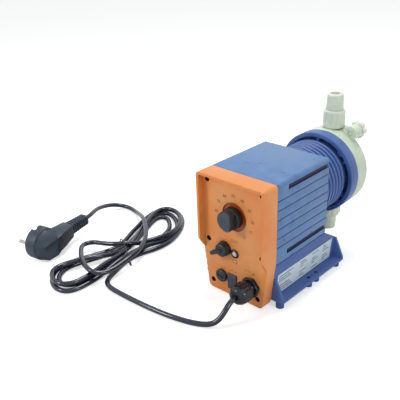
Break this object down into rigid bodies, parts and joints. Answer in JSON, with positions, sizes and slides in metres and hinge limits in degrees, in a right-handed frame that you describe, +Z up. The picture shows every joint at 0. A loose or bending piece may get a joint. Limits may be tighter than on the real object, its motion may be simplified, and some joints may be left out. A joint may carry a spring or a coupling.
{
  "type": "diaphragm metering pump",
  "caption": "Solenoid diaphragm metering pump: hooded control panel with stroke knob, ribbed drive, round dosing head with ball valves, flanged foot, mains lead and plug.",
  "frame": {"origin": "centre of the foot's four screw holes, on the plane that the foot stands on", "axes": "+Z up, +Y from the control panel to the liquid end, +X to the right of someone facing the panel"},
  "size_m": [0.3338, 0.3434, 0.1915],
  "materials": {
    "orange_plastic": "moulded, satin",
    "blue_plastic": "moulded, satin",
    "black_plastic": "moulded, satin",
    "grey_plastic": "moulded, satin",
    "head_plastic": "natural, slightly translucent",
    "lens": "clear",
    "label": "blank plate",
    "screw_steel": "zinc plated",
    "pot_steel": "plated",
    "copper": "enamelled wire",
    "bronze": "sintered",
    "board": "board",
    "rubber": "black rubber",
    "diaphragm_rubber": "faced elastomer",
    "ceramic": "ceramic",
    "pin_metal": "nickel plated",
    "cord_jacket": "sheathed lead",
    "tie": "plastic-coated wire"
  },
  "bodies": {
    "pump_body": {"front_cover": "orange_plastic", "cover_screws": "screw_steel", "housing": "blue_plastic", "foot": "blue_plastic", "foot_screws": "screw_steel", "label_plate": "label", "stop_bush": "bronze", "rotary_switch": "black_plastic", "lamp_bezel": "black_plastic", "lamp_lens": "lens", "fuse_holder": "black_plastic", "socket_cover": "grey_plastic", "gland_body": "black_plastic", "gland_nut": "black_plastic", "gland_seal": "rubber", "gland_locknut": "black_plastic", "circuit_board": "board", "board_parts": "grey_plastic", "solenoid_casing": "blue_plastic", "solenoid_pot": "pot_steel", "coil_bobbin": "black_plastic", "coil_winding": "copper", "fixed_core": "pot_steel", "guide_bush": "bronze", "return_spring": "pot_steel", "back_ring": "blue_plastic", "diaphragm": "diaphragm_rubber", "dosing_head": "head_plastic", "head_screws": "screw_steel", "discharge_valve": "head_plastic", "discharge_seal": "rubber", "discharge_seat": "head_plastic", "discharge_nozzle": "head_plastic", "suction_valve": "head_plastic", "suction_seal": "rubber", "suction_seat": "head_plastic", "suction_nozzle": "head_plastic", "mains_lead": "cord_jacket", "plug_lead": "cord_jacket", "cord_hank": "cord_jacket", "cord_tie": "tie", "strain_relief": "black_plastic", "plug_body": "black_plastic", "plug_pins": "pin_metal"},
    "stroke_adjuster": {"stroke_knob": "black_plastic", "stroke_spindle": "pot_steel"},
    "stroke_stop": {"stop_pin": "pot_steel"},
    "selector": {"selector_knob": "black_plastic"},
    "fuse_cap": {"fuse_cap": "black_plastic"},
    "plunger": {"armature": "pot_steel", "push_rod": "pot_steel", "diaphragm_disc": "pot_steel"},
    "discharge_ball": {"discharge_ball": "ceramic"},
    "suction_ball": {"suction_ball": "ceramic"},
    "bleed_valve": {"bleed_stem": "head_plastic", "bleed_knob": "head_plastic"}
  },
  "joints": [
    {"name": "stroke_knob_turn", "type": "hinge", "parent": "pump_body", "child": "stroke_adjuster", "pos_m": [0, -0.0807, 0.1015], "axis": [0, -1, 0], "range_deg": [-147, 147]},
    {"name": "stroke_stop_slide", "type": "slide", "parent": "pump_body", "child": "stroke_stop", "axis": [0, -1, 0], "range_m": [-0.00063, 0.00063]},
    {"name": "selector_turn", "type": "hinge", "parent": "pump_body", "child": "selector", "pos_m": [-0.0134, -0.0807, 0.0598], "axis": [0, -1, 0], "range_deg": [-90, 0]},
    {"name": "fuse_cap_turn", "type": "hinge", "parent": "pump_body", "child": "fuse_cap", "pos_m": [-0.018, -0.0807, 0.0235], "axis": [0, -1, 0], "range_deg": [0, 90]},
    {"name": "plunger_stroke", "type": "slide", "parent": "pump_body", "child": "plunger", "axis": [0, 1, 0], "range_m": [0, 0.00125], "stiffness_N_per_m": 8000, "springref_m": -0.002, "deforming": ["return_spring", "diaphragm"]},
    {"name": "discharge_ball_lift", "type": "slide", "parent": "pump_body", "child": "discharge_ball", "axis": [0, 0, 1], "range_m": [0, 0.0015]},
    {"name": "suction_ball_lift", "type": "slide", "parent": "pump_body", "child": "suction_ball", "axis": [0, 0, 1], "range_m": [0, 0.0015]},
    {"name": "bleed_valve_turn", "type": "hinge", "parent": "pump_body", "child": "bleed_valve", "pos_m": [0.0265, 0.1095, 0.1485], "axis": [0, 1, 0], "range_deg": [0, 270]}
  ],
  "couplings": [
    {"joint": "stroke_knob_turn", "follows": "stroke_stop_slide", "rad_per_m": 4105}
  ]
}
